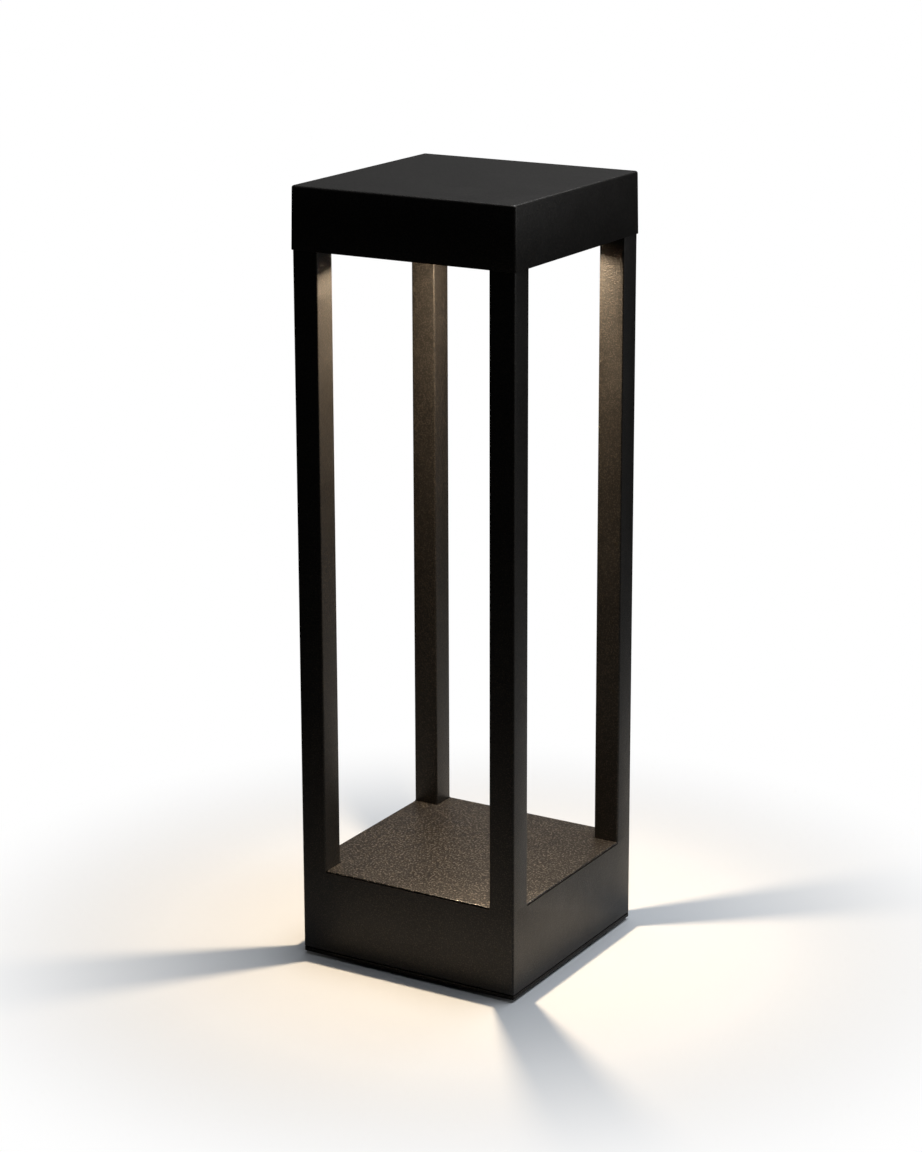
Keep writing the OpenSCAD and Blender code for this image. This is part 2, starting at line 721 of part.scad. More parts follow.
module lead_earth() color("yellowgreen") {
    entry = [-pole_pitch, terminal_y - terminal_w / 2 + 2.5, pole_z];
    wire(smooth([entry, entry - [0, 5, 0], [entry[0] - 8, entry[1] - 9, pole_z + 2],
        [earth_at[0] + 6, earth_at[1] - 12, gear_z - 6],
        [earth_at[0] + 1, earth_at[1] - 8, gear_z - 2.5],
        [earth_at[0], earth_at[1] - m4_d, gear_z - lead_d / 2]], 2), lead_d);
}

// ---- Head cap ----

// Section of the cap outside the corner axes: drafted side, rounded top edge
module cap_edge_profile() {
    low = cap_corner_r + cap_proud_low - cap_proud_top;
    polygon([[-eps, 0], [low, 0], [cap_corner_r, cap_h - cap_edge_r],
        [cap_corner_r - cap_edge_r, cap_h], [-eps, cap_h]]);
    translate([cap_corner_r - cap_edge_r, cap_h - cap_edge_r]) circle(cap_edge_r);
}

module cap_shell() {
    axis = half + cap_proud_top - cap_corner_r;
    translate([0, 0, cap_z]) {
        translate([-axis, -axis, 0]) cube([2 * axis, 2 * axis, cap_h]);
        for (a = [0:90:270]) rotate(a) {
            translate([axis, axis, 0]) rotate([90, 0, 0]) linear_extrude(2 * axis) cap_edge_profile();
            translate([axis, axis, 0]) rotate_extrude() intersection() {
                cap_edge_profile();
                square([cap_corner_r + 10, cap_h]);
            }
        }
    }
}

module head_cap() color("#1d1c1b") {
    difference() {
        union() {
            difference() {
                cap_shell();
                translate([-cavity_half, -cavity_half, cap_z - 1])
                    cube([2 * cavity_half, 2 * cavity_half, cap_step_z - cap_z + 1]);
                translate([-upper_cavity_half, -upper_cavity_half, cap_z])
                    cube([2 * upper_cavity_half, 2 * upper_cavity_half, cap_inside_z - cap_z]);
            }
            // bosses that stand on the tray, each with a rib to the side wall
            four_sides() {
                translate([boss_at, 0, tray_top]) cylinder(r = boss_r, h = cap_inside_z - tray_top + 1);
                translate([boss_at, -boss_rib_t / 2, cap_step_z + 0.5])
                    cube([upper_cavity_half - boss_at + 1, boss_rib_t, cap_inside_z - cap_step_z]);
            }
        }
        four_sides() translate([boss_at, 0, tray_top - 1]) {
            cylinder(r = m4_d / 2 + captive_clearance, h = boss_bore_h + 1);
            cylinder(r = washer_r + 0.4, h = washer_t + 1.4);
        }
    }
}

foot_pad();
ground_plate();
locating_lugs();
base_seal();
cable_grommet();
base_housing();
deck_plate();
deck_nuts();
gear_tray();
led_driver();
driver_screws();
terminal_block();
terminal_screws();
earth_screw();
earth_ring();
body_set_screws();
post_front_left();
post_front_right();
post_back_left();
post_back_right();
post_foot_screws();
head_tray();
tray_screws();
cap_seal();
cap_screws();
captive_washers();
glass_seal();
lens_glass();
clamp_ring();
clamp_ring_screws();
reflector();
led_emitter();
led_board();
thermal_pad();
heat_sink();
heat_sink_pillars();
heat_sink_screws();
led_cable();
tray_grommet();
led_connector();
led_lead_plus();
led_lead_minus();
lead_live();
lead_neutral();
lead_earth();
head_cap();
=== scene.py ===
# %% [markdown]
# # A square bollard light
# This lesson dresses a finished CAD model of a garden light. A low base stands on the ground, four
# square posts rise from its corners, and they carry a flat head with a lamp that shines down on the
# deck and the ground. The CAD model gives every place and size, so nothing here is fitted by eye.

# %% Load the CAD model
import math

import bmesh
import bpy
from mathutils import Matrix, Vector


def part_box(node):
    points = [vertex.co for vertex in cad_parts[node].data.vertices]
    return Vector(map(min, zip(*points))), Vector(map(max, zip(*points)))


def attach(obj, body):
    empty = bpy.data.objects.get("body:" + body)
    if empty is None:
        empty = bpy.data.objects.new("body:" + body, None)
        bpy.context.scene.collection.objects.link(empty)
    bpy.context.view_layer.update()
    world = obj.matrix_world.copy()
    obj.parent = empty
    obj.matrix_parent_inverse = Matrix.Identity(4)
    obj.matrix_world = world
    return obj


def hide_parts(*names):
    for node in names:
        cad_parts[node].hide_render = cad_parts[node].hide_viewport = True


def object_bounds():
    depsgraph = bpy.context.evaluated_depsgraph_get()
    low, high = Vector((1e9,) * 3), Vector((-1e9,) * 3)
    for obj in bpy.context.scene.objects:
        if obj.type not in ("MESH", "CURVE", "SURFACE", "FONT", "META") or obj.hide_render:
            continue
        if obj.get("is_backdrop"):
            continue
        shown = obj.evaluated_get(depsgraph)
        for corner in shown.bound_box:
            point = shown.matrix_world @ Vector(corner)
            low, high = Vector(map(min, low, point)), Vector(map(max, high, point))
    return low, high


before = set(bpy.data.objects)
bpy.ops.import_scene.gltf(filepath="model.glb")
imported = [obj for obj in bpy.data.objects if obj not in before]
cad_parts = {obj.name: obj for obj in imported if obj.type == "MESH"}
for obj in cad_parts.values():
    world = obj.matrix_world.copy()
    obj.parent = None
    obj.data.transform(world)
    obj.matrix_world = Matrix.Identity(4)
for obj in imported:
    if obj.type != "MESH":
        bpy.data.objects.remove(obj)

MM = 0.001
cad_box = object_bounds()
for material in list(bpy.data.materials):
    material.name = "cad_" + material.name
print("CAD parts:", len(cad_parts))
print("CAD size in mm:", [round(side / MM, 1) for side in cad_box[1] - cad_box[0]])

# %% [markdown]
# ## Measuring from the CAD model
# A maker reads sizes off the drawing. Here `span` reads the lowest and highest corner of a CAD part
# in millimetres, so that a piece is always made where its part is, even if the drawing changes.

# %% The main sizes
def span(node):
    """Lowest and highest corner of a CAD part, in millimetres."""
    low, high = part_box(node)
    return low / MM, high / MM


cap_low, cap_high = span("head_cap")
post_low, post_high = span("post_back_right")
base_low, base_high = span("base_housing")
deck_low, deck_high = span("deck_plate")
tray_high = span("head_tray")[1]
body_half = base_high.x
post_in = post_low.x
post_side = post_high.x - post_low.x
print("body half width", round(body_half, 2), "post side", round(post_side, 2))
print("deck at", round(deck_high.z, 1),
      "head from", round(cap_low.z, 1), "to", round(cap_high.z, 1))

# %% [markdown]
# ## Working as at the bench
# Most pieces start as a plain block or a drawn section and are then shaped. These helpers keep that
# work short. They always begin with nothing selected, because the loaded CAD parts come in selected
# and an operator would act on them too.

# %% Selecting one piece
def clear_selection():
    """Leave edit mode and select nothing."""
    if bpy.context.object and bpy.context.object.mode != "OBJECT":
        bpy.ops.object.mode_set(mode="OBJECT")
    bpy.ops.object.select_all(action="DESELECT")


def take(piece):
    """Make one piece the only selected one, ready for an operator."""
    clear_selection()
    piece.select_set(True)
    bpy.context.view_layer.objects.active = piece


def open_up(piece):
    """Take a piece into edit mode."""
    take(piece)
    bpy.ops.object.mode_set(mode="EDIT")

# %% Starting shapes
def settle(name):
    """Name the newest primitive and write its place, turn and size into its mesh."""
    piece = bpy.context.object
    piece.name = piece.data.name = name
    bpy.ops.object.transform_apply(location=True, rotation=True, scale=True)
    return piece


def block(name, low, high):
    """A block between two corners, in millimetres."""
    clear_selection()
    low, high = Vector(low) * MM, Vector(high) * MM
    bpy.ops.mesh.primitive_cube_add(size=1, location=(low + high) / 2, scale=high - low)
    return settle(name)


def rod(name, radius, start, end, sides=48):
    """A round rod between the centres of its two ends, in millimetres."""
    clear_selection()
    start, end = Vector(start) * MM, Vector(end) * MM
    turn = (end - start).to_track_quat("Z", "Y").to_euler()
    bpy.ops.mesh.primitive_cylinder_add(
        vertices=sides, radius=radius * MM, depth=(end - start).length,
        location=(start + end) / 2, rotation=turn)
    return settle(name)

# %% Picking faces and edges by where they are
NEAR = 0.05  # mm: two ends that are this close count as one above the other
LEVEL = 0.02  # mm: an end that is this close to a height counts as lying at it
CREASE = 0.5  # radians between two faces, from which their edge counts as a crease
FACING = 0.9  # part of a normal that points along an axis, for a face that looks that way


def pick_faces(piece, test):
    """In edit mode, select the faces whose centre (mm) and normal pass the test."""
    bpy.ops.mesh.select_mode(type="FACE")
    bpy.ops.mesh.select_all(action="DESELECT")
    mesh = bmesh.from_edit_mesh(piece.data)
    for face in mesh.faces:
        if test(face.calc_center_median() / MM, face.normal):
            face.select_set(True)
    bmesh.update_edit_mesh(piece.data)


def pick_edges(piece, test, creased=False):
    """In edit mode, select the edges whose two ends (mm) pass the test.

    With creased, only those among them where two faces meet at an angle.
    """
    bpy.ops.mesh.select_mode(type="EDGE")
    bpy.ops.mesh.select_all(action="DESELECT")
    mesh = bmesh.from_edit_mesh(piece.data)
    for edge in mesh.edges:
        flat = creased and edge.calc_face_angle(0) < CREASE
        if test(edge.verts[0].co / MM, edge.verts[1].co / MM) and not flat:
            edge.select_set(True)
    bmesh.update_edit_mesh(piece.data)


def upright(a, b):
    """True for an edge that runs straight up."""
    return abs(a.x - b.x) < NEAR and abs(a.y - b.y) < NEAR and abs(a.z - b.z) > NEAR


def both_at(height, a, b):
    """True for an edge that lies at one height."""
    return abs(a.z - height) < LEVEL and abs(b.z - height) < LEVEL


def furthest(point):
    """How far a point is from the axis, measured along x or y, whichever is more."""
    return max(abs(point.x), abs(point.y))


def round_over(width, segments=4):
    """Round the selected edges to a radius in millimetres."""
    bpy.ops.mesh.bevel(offset=width * MM, segments=segments, affect="EDGES")


def pull_up(height):
    """Extrude the selected faces upwards, in millimetres."""
    bpy.ops.mesh.extrude_region_move(TRANSFORM_OT_translate={"value": (0, 0, height * MM)})

# %% Cutting, joining, turning and copying
WELD = 0.002 * MM  # points this close become one


def carve(piece, *tools, how="DIFFERENCE"):
    """Cut each tool out of the piece, or weld it on with how="UNION", and throw the tool away."""
    for tool in tools:
        take(piece)
        step = piece.modifiers.new("carve", "BOOLEAN")
        step.operation, step.object, step.solver = how, tool, "EXACT"
        bpy.ops.object.modifier_apply(modifier=step.name)
        bpy.data.objects.remove(tool)


def own_copy(piece, name):
    """A copy of a piece with its own mesh."""
    copy = piece.copy()
    copy.data = piece.data.copy()
    copy.name = copy.data.name = name
    bpy.context.scene.collection.objects.link(copy)
    return copy


def quarter_turns(piece, turns=(1, 2, 3)):
    """The piece's copies, each with its own mesh, turned by quarter turns round the lamp's axis."""
    take(piece)
    copies = []
    for number in turns:
        copy = own_copy(piece, f"{piece.name}_{number + 1}")
        copy.data.transform(Matrix.Rotation(math.radians(90 * number), 4, "Z"))
        copies.append(copy)
    return copies


def turned(name, section, sides=96):
    """A part made on the lathe: a closed outline of (radius, height) points spun round the axis."""
    clear_selection()
    bpy.ops.mesh.primitive_circle_add(vertices=len(section), radius=MM)
    piece = settle(name)
    for vertex, (radius, height) in zip(piece.data.vertices, section):
        vertex.co = Vector((radius, 0, height)) * MM
    open_up(piece)
    bpy.ops.mesh.select_all(action="SELECT")
    bpy.ops.mesh.spin(steps=sides, angle=math.tau, center=(0, 0, 0), axis=(0, 0, 1))
    bpy.ops.mesh.select_all(action="SELECT")
    bpy.ops.mesh.remove_doubles(threshold=WELD)
    bpy.ops.mesh.delete_loose()
    bpy.ops.mesh.select_all(action="SELECT")
    bpy.ops.mesh.normals_make_consistent(inside=False)
    bpy.ops.object.mode_set(mode="OBJECT")
    return piece

# %% [markdown]
# ## Finishes: textured powder coat
# Every outer surface is cast or extruded aluminium with one coat of charcoal powder paint. The
# powder melts into a fine sandy skin, so the paint is matt but each grain catches a speck of light.
# It could be a plain dark colour with a high roughness, but that looks like plastic. Here fine
# noise lifts the surface, a coarser noise makes it uneven, and the tops of the same grains turn to
# dark metal flake, which glints while the paint around it stays nearly black. The deck and the
# ground plate have the same paint, each in its own copy. The deck's copy has coarser grains and is
# paler, painted light for the lamp's light on the deck; the plate's copy is darker and duller,
# painted shade for the shadow under the base. All patterns follow the piece's own axes in metres,
# so that the grain has the same size on every part.

# %% Node helpers
def new_material(name):
    """A material with its shader and the piece's own coordinates."""
    material = bpy.data.materials.new(name)
    material.use_nodes = True
    tree = material.node_tree
    place = tree.nodes.new("ShaderNodeTexCoord").outputs["Object"]
    return material, tree, tree.nodes["Principled BSDF"], place


def noise(tree, place, size_mm, detail=2.0, stretch=(1, 1, 1)):
    """Noise whose grains are about size_mm across, longer along an axis with a small stretch."""
    mapping = tree.nodes.new("ShaderNodeMapping")
    mapping.inputs["Scale"].default_value = stretch
    pattern = tree.nodes.new("ShaderNodeTexNoise")
    pattern.inputs["Scale"].default_value = 1 / (size_mm * MM)
    pattern.inputs["Detail"].default_value = detail
    tree.links.new(place, mapping.inputs["Vector"])
    tree.links.new(mapping.outputs["Vector"], pattern.inputs["Vector"])
    return pattern.outputs["Fac"]


def blend_colours(tree, amount, *stops):
    """A colour for each value of a pattern, from (value, colour) pairs."""
    ramp = tree.nodes.new("ShaderNodeValToRGB")
    while len(ramp.color_ramp.elements) < len(stops):
        ramp.color_ramp.elements.new(0.5)
    for element, (value, colour) in zip(ramp.color_ramp.elements, stops):
        element.position, element.color = value, (*colour, 1)
    tree.links.new(amount, ramp.inputs["Fac"])
    return ramp.outputs["Color"]


def rescale(tree, amount, start, end, low=0.0, high=1.0):
    """A pattern's values from start to end, spread over the values from low to high."""
    scale = tree.nodes.new("ShaderNodeMapRange")
    scale.inputs["From Min"].default_value, scale.inputs["From Max"].default_value = start, end
    scale.inputs["To Min"].default_value, scale.inputs["To Max"].default_value = low, high
    tree.links.new(amount, scale.inputs["Value"])
    return scale


def spread(tree, amount, low, high):
    """The middle of a noise pattern, where most of it lies, spread from low to high."""
    return rescale(tree, amount, 0.3, 0.7, low, high).outputs["Result"]


def relief(tree, amount, height_mm, strength=1.0, under=None):
    """Bumps of the given height, on top of another relief if there is one."""
    bump = tree.nodes.new("ShaderNodeBump")
    bump.inputs["Strength"].default_value = strength
    bump.inputs["Distance"].default_value = height_mm * MM
    tree.links.new(amount, bump.inputs["Height"])
    if under:
        tree.links.new(under, bump.inputs["Normal"])
    return bump.outputs["Normal"]


def wire_up(tree, surface, colour=None, roughness=None, normal=None):
    """Join patterns to the shader."""
    for socket, source in (("Base Color", colour), ("Roughness", roughness), ("Normal", normal)):
        if source:
            tree.links.new(source, surface.inputs[socket])

# %% The powder coat
PAINT_UP_TO, FLAKE_FROM = 0.55, 0.62  # values of the grain's noise; higher leaves fewer glints


def glints(tree, grain):
    """1 on the tops of the grains, where the flake is, and 0 around them."""
    return rescale(tree, grain, PAINT_UP_TO, FLAKE_FROM).outputs["Result"]


def mix_colours(tree, amount, first, second):
    """First where the amount is 0 and second where it is 1; each is a socket or a colour."""
    mix = tree.nodes.new("ShaderNodeMix")
    mix.data_type = "RGBA"
    tree.links.new(amount, mix.inputs["Factor"])
    for socket, source in ((mix.inputs[6], first), (mix.inputs[7], second)):
        if isinstance(source, bpy.types.NodeSocket):
            tree.links.new(source, socket)
        else:
            socket.default_value = (*source, 1)
    return mix.outputs[2]


def powder_coat(name, shade, fleck, shine, rough=(0.38, 0.44), grain_mm=1.0):
    """Sandy matt paint: shade is the paint's colour, and fleck the metal flake in its grains."""
    cloud_mm, swell_mm = 26, grain_mm * 4
    grain_height, swell_height = 0.16, 0.16 * 0.8
    material, tree, surface, place = new_material(name)
    grain = noise(tree, place, grain_mm, detail=3)
    cloud = noise(tree, place, cloud_mm, detail=2)
    dark, pale = [c * 0.6 for c in shade], [c * 1.7 for c in shade]
    colour = blend_colours(tree, grain, (0.32, dark), (0.50, shade), (0.68, pale))
    glint = glints(tree, grain)
    colour = mix_colours(tree, glint, colour, fleck)
    tree.links.new(glint, surface.inputs["Metallic"])
    normal = relief(tree, noise(tree, place, swell_mm), swell_height, 0.5)
    normal = relief(tree, grain, grain_height, 0.9, under=normal)
    wire_up(tree, surface, colour, spread(tree, cloud, *rough), normal)
    surface.inputs["Specular IOR Level"].default_value = shine
    return material


coat = powder_coat("charcoal_powder_coat", shade=(0.0018, 0.0016, 0.0014),
                   fleck=(0.050, 0.0455, 0.041), shine=0.31, grain_mm=0.8)
# The deck's copy is paler: painted light that stands in for the lamp's light on the deck.
deck_coat_painted_light = powder_coat("charcoal_powder_coat_deck_painted_light", shade=(0.0045, 0.0041, 0.0037),
                        fleck=(0.205, 0.187, 0.169), shine=0.40, rough=(0.34, 0.40), grain_mm=1.3)
# The ground plate's copy is darker and duller: painted shade for the shadow under the base.
plate_coat_painted_shade = powder_coat("charcoal_powder_coat_plate_painted_shade", shade=(0.0010, 0.0009, 0.0008),
                         fleck=(0.030, 0.027, 0.024), shine=0.12)
print("made", coat.name, "the paler", deck_coat_painted_light.name, "and the duller", plate_coat_painted_shade.name)

# %% [markdown]
# ## Finishes: metals
# The screws are stainless steel, the set screws are blackened, and the gear tray is galvanised. The
# heat sink and the clamp ring are bare aluminium. A metal's look lives in its roughness: long thin
# noise makes drawn or brushed marks, and large flakes make the spangle of hot zinc.

# %% Steel and aluminium
def worked_metal(name, shade, marks, rough, height=0.01):
    """Bare metal with fine marks that are stretched along an axis."""
    mark_mm, cloud_mm = 0.6, 9
    material, tree, surface, place = new_material(name)
    lines = noise(tree, place, mark_mm, detail=3, stretch=marks)
    cloud = noise(tree, place, cloud_mm)
    colour = blend_colours(tree, cloud, (0.3, [c * 0.86 for c in shade]), (0.7, shade))
    wire_up(tree, surface, colour, spread(tree, lines, *rough), relief(tree, lines, height, 0.6))
    surface.inputs["Metallic"].default_value = 1.0
    return material


stainless = worked_metal("stainless_steel", (0.58, 0.57, 0.55), (1, 1, 0.15), (0.22, 0.40))
blackened = worked_metal("blackened_steel", (0.035, 0.034, 0.033), (1, 1, 1), (0.35, 0.55), 0.02)
aluminium = worked_metal("bare_aluminium", (0.74, 0.75, 0.76), (1, 0.06, 1), (0.28, 0.48))
bright = worked_metal("bright_reflector", (0.88, 0.87, 0.85), (1, 1, 0.3), (0.12, 0.22), 0.004)


def galvanised_sheet():
    """Hot zinc: flakes of different brightness, a few millimetres across."""
    flake_mm = 5
    material, tree, surface, place = new_material("galvanised_steel")
    flakes = tree.nodes.new("ShaderNodeTexVoronoi")
    flakes.inputs["Scale"].default_value = 1 / (flake_mm * MM)
    tree.links.new(place, flakes.inputs["Vector"])
    tone = flakes.outputs["Color"]
    colour = blend_colours(tree, tone, (0.1, (0.42, 0.43, 0.44)), (0.9, (0.62, 0.63, 0.64)))
    rough = spread(tree, noise(tree, place, 4), 0.35, 0.5)
    wire_up(tree, surface, colour, rough, relief(tree, noise(tree, place, 1.5), 0.02, 0.5))
    surface.inputs["Metallic"].default_value = 1.0
    return material


zinc = galvanised_sheet()
print("made", stainless.name, blackened.name, aluminium.name, bright.name, zinc.name)

# %% [markdown]
# ## Finishes: rubber, plastics and insulation
# Seals and feet are matt black rubber with a faint skin. Moulded housings have the fine spark
# texture of their mould, and the thin leads have a smooth, slightly glossy skin. One recipe serves
# all of them with different numbers, which is how a moulder would think of them too.

# %% Moulded and extruded skins
def moulded(name, shade, rough, grain_mm=0.5, height=0.02, specular=0.4):
    """Plastic or rubber with a fine mould texture and slight changes of tone."""
    cloud_mm = 12
    material, tree, surface, place = new_material(name)
    grain = noise(tree, place, grain_mm, detail=2)
    cloud = noise(tree, place, cloud_mm)
    colour = blend_colours(tree, cloud, (0.3, [c * 0.88 for c in shade]), (0.7, shade))
    wire_up(tree, surface, colour, spread(tree, grain, *rough), relief(tree, grain, height, 0.6))
    surface.inputs["Specular IOR Level"].default_value = specular
    return material


rubber = moulded("black_rubber", (0.012, 0.012, 0.012), (0.65, 0.85), 0.7, 0.05, 0.3)
plastic = moulded("white_plastic", (0.72, 0.72, 0.70), (0.42, 0.55))
nylon = moulded("ivory_nylon", (0.70, 0.66, 0.54), (0.38, 0.5))
sheath = moulded("black_cable_sheath", (0.014, 0.014, 0.015), (0.45, 0.6))
silicone = moulded("grey_thermal_silicone", (0.30, 0.33, 0.37), (0.6, 0.75))
skin_rough = (0.25, 0.38)
red_skin = moulded("red_insulation", (0.55, 0.02, 0.02), skin_rough)
black_skin = moulded("black_insulation", (0.015, 0.015, 0.015), skin_rough)
brown_skin = moulded("brown_insulation", (0.13, 0.045, 0.018), skin_rough)
blue_skin = moulded("blue_insulation", (0.02, 0.10, 0.42), skin_rough)
mask = moulded("white_solder_mask", (0.80, 0.80, 0.78), (0.20, 0.32), 1.2, 0.01)


def two_colour_skin():
    """Earth lead: green insulation with a yellow stripe that winds round it."""
    stripe_mm = 9
    material, tree, surface, place = new_material("green_yellow_insulation")
    stripe = tree.nodes.new("ShaderNodeTexWave")
    stripe.inputs["Scale"].default_value = 1 / (stripe_mm * MM)
    stripe.bands_direction = "DIAGONAL"
    tree.links.new(place, stripe.inputs["Vector"])
    green, yellow = (0.03, 0.25, 0.03), (0.62, 0.50, 0.02)
    colour = blend_colours(tree, stripe.outputs["Fac"], (0.52, green), (0.58, yellow))
    grain = noise(tree, place, 0.5)
    wire_up(tree, surface, colour, spread(tree, grain, *skin_rough), relief(tree, grain, 0.02, 0.5))
    return material


earth_skin = two_colour_skin()
print("made", rubber.name, plastic.name, nylon.name, "and the lead skins")

# %% [markdown]
# ## Finishes: glass and the light source
# The lamp shines through a disc of toughened glass. Behind it a patch of yellow phosphor glows. The
# glass is a real refracting shader with a trace of unevenness, and the phosphor gives off light
# with small changes of tone, as its packed grains do.

# %% Glass and phosphor
def toughened_glass():
    """Clear glass with a very faint ripple and dust."""
    ripple_mm, dust_mm = 14, 0.8
    material, tree, surface, place = new_material("tempered_glass")
    ripple = noise(tree, place, ripple_mm)
    dust = noise(tree, place, dust_mm, detail=3)
    wire_up(tree, surface, None, spread(tree, dust, 0.02, 0.09), relief(tree, ripple, 0.02, 0.3))
    surface.inputs["Base Color"].default_value = (0.96, 0.98, 0.97, 1)
    surface.inputs["Transmission Weight"].default_value = 1.0
    surface.inputs["IOR"].default_value = 1.5
    return material


def phosphor():
    """Yellow phosphor that glows warm white."""
    grain_mm, glow_strength = 0.5, 18.0
    material, tree, surface, place = new_material("warm_led_phosphor")
    grain = noise(tree, place, grain_mm, detail=2)
    colour = blend_colours(tree, grain, (0.3, (0.80, 0.55, 0.14)), (0.7, (0.95, 0.72, 0.24)))
    glow = blend_colours(tree, grain, (0.3, (1.0, 0.76, 0.46)), (0.7, (1.0, 0.84, 0.60)))
    wire_up(tree, surface, colour, spread(tree, grain, 0.5, 0.7), relief(tree, grain, 0.05, 0.6))
    tree.links.new(glow, surface.inputs["Emission Color"])
    surface.inputs["Emission Strength"].default_value = glow_strength
    return material


glass = toughened_glass()
glowing = phosphor()
print("made", glass.name, glowing.name)

# %% [markdown]
# ## Handing a piece over
# A finished piece needs four things: smooth shading on its rounded edges, its finish, the body that
# it moves with, and the CAD parts that it stands for. One helper does all four, so none is
# forgotten.

# %% Finishing a piece
SMOOTH_BELOW = math.radians(32)  # edges that bend less than this are shaded smooth


def hand_over(piece, material, body, *nodes, slot=None):
    """Shade a piece, paint it, let it ride on its body and put it in the place of CAD parts."""
    take(piece)
    bpy.ops.object.shade_smooth_by_angle(angle=SMOOTH_BELOW)
    clear_selection()
    piece.data.materials.clear()
    piece.data.materials.append(material)
    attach(piece, body)
    if nodes:
        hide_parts(*nodes)
    print(f"{piece.name}: {len(piece.data.polygons)} faces")

# %% [markdown]
# ## The head cap
# The head is a die-cast box, open below, that drops over the posts and hides the lamp's works. Its
# walls lean in by a fraction of a degree so that it leaves the mould, its lower edge stands a
# millimetre proud of the posts, and all its edges are soft. It could be cut from two blocks, but
# hollowing one block by inset and extrude keeps the walls in one clean skin.

# %% The cap's outside and its hollow
cap_lean = 0.6  # how much narrower each side is at the top
tray_clearance = 0.4  # between the pocket's wall and the head tray
pocket_ledge = 1.5  # the step that presses on the seal
cap_top = 2.5  # thickness of the top wall
pocket_half = tray_high.x + tray_clearance
hollow_half = pocket_half - pocket_ledge
pocket_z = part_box("cap_seal")[1].z / MM
ceiling_z = cap_high.z - cap_top

cap = block("head_cap_shell", cap_low, cap_high)
open_up(cap)
pick_faces(cap, lambda p, n: n.z > FACING)
shrink = (cap_high.x - cap_lean) / cap_high.x
bpy.ops.transform.resize(value=(shrink, shrink, 1), center_override=(0, 0, cap_high.z * MM))
pick_faces(cap, lambda p, n: n.z < -FACING)
bpy.ops.mesh.inset(thickness=(cap_high.x - pocket_half) * MM)
pull_up(pocket_z - cap_low.z)
bpy.ops.mesh.inset(thickness=(pocket_half - hollow_half) * MM)
pull_up(ceiling_z - pocket_z)
print("hollow from", round(cap_low.z, 1), "to", round(ceiling_z, 1), "mm")

# %% Soft edges on the cap
corner_r, crown_r, rim_r = 2.1, 1.5, 0.3
tall = 20  # an edge that rises more than this is a corner of the cap
pick_edges(cap, lambda a, b: abs(a.z - b.z) > tall and abs(a.x) > pocket_half + 1)
round_over(corner_r, 6)
pick_edges(cap, lambda a, b: both_at(cap_high.z, a, b))
round_over(crown_r, 5)
pick_edges(cap, lambda a, b: both_at(cap_low.z, a, b), creased=True)
round_over(rim_r, 2)
print("cap's edges rounded to", corner_r, crown_r, "and", rim_r, "mm")

# %% [markdown]
# Inside, four bosses stand on the head tray and take the screws that hold the cap. Each has a thin
# rib to the wall. One boss is made with its bore, and three quarter turns give the others.

# %% Screw bosses and ribs
boss_at = 67.25
boss_r, bore_r, washer_r = 4.5, 2.3, 3.6
bore_depth, washer_depth = 12, 1.2
rib_half = 1
boss_foot = 0.03  # the bosses end this far above the tray, so that no two faces share a plane
tray_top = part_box("cap_seal")[0].z / MM + boss_foot
boss = rod("cap_boss", boss_r, (boss_at, 0, tray_top), (boss_at, 0, ceiling_z + 0.6), 64)
rib = block("rib", (boss_at, -rib_half, pocket_z + 0.5),
            (hollow_half + 0.8, rib_half, ceiling_z + 0.4))
carve(boss, rib, how="UNION")
for name, radius, depth in (("bore", bore_r, bore_depth),
                            ("washer pocket", washer_r, washer_depth)):
    carve(boss, rod(name, radius, (boss_at, 0, tray_top - 1), (boss_at, 0, tray_top + depth)))
bosses = [boss, *quarter_turns(boss)]
carve(cap, *bosses, how="UNION")
hand_over(cap, coat, "cap", "head_cap")

# %% [markdown]
# ## The posts
# Each post is a length of square aluminium tube with crisp, slightly rounded edges. A thicker
# corner inside it holds the screws from both ends. Above the shoulder its two outer sides are cut
# back, so that the cap can slide over. One post is made and turned round the axis three times.

# %% One post
edge_radius = 1.2
post_wall = 1.6
cap_gap = 0.3  # between the posts' shoulders and the cap
shoulder_z = cap_low.z - cap_gap
tenon_half = tray_high.x - 0.1
port_at = 70.75  # the screws' place, along x and along y
port_r = 2.05
port_wall = 8.6  # side of the thick corner that holds them

post = block("corner_post", post_low, post_high)
open_up(post)
pick_edges(post, upright)
round_over(edge_radius, 5)
reach = body_half + 5
inner, outer = post_in + post_wall, body_half - post_wall
floor_z, roof_z = post_low.z - 5, post_high.z + 5
carve(post,
      block("trim", (tenon_half, post_in - 5, shoulder_z), (reach, reach, roof_z)),
      block("trim", (post_in - 5, tenon_half, shoulder_z), (reach, reach, roof_z)),
      block("hollow", (inner, inner, floor_z), (outer - port_wall, outer, roof_z)),
      block("hollow", (inner, inner, floor_z), (outer, outer - port_wall, roof_z)),
      rod("screw port", port_r, (port_at, port_at, floor_z), (port_at, port_at, roof_z)))
print("post from", round(post_low.z, 1), "to", round(post_high.z, 1), "shoulder at", shoulder_z)

# %% Four posts
posts = [post, *quarter_turns(post)]
corners = ("post_back_right", "post_back_left", "post_front_left", "post_front_right")
for piece, node in zip(posts, corners):
    hand_over(piece, coat, "lantern", node)

# %% [markdown]
# ## The base
# The base is a square frame with the same edges as the posts, so that post and base read as one
# upright. Its two open ends are inset and bridged to make the wall. Pads in the corners carry the
# posts, and ledges carry the deck. The wall is drilled for four set screws that lock it to the
# plate on the ground.

# %% The base's wall
base_wall = 3.0
deck_thickness = 1.5
foot_r = 0.25  # radius of the base's lower edge
inner_half = body_half - base_wall
deck_under = deck_high.z - deck_thickness

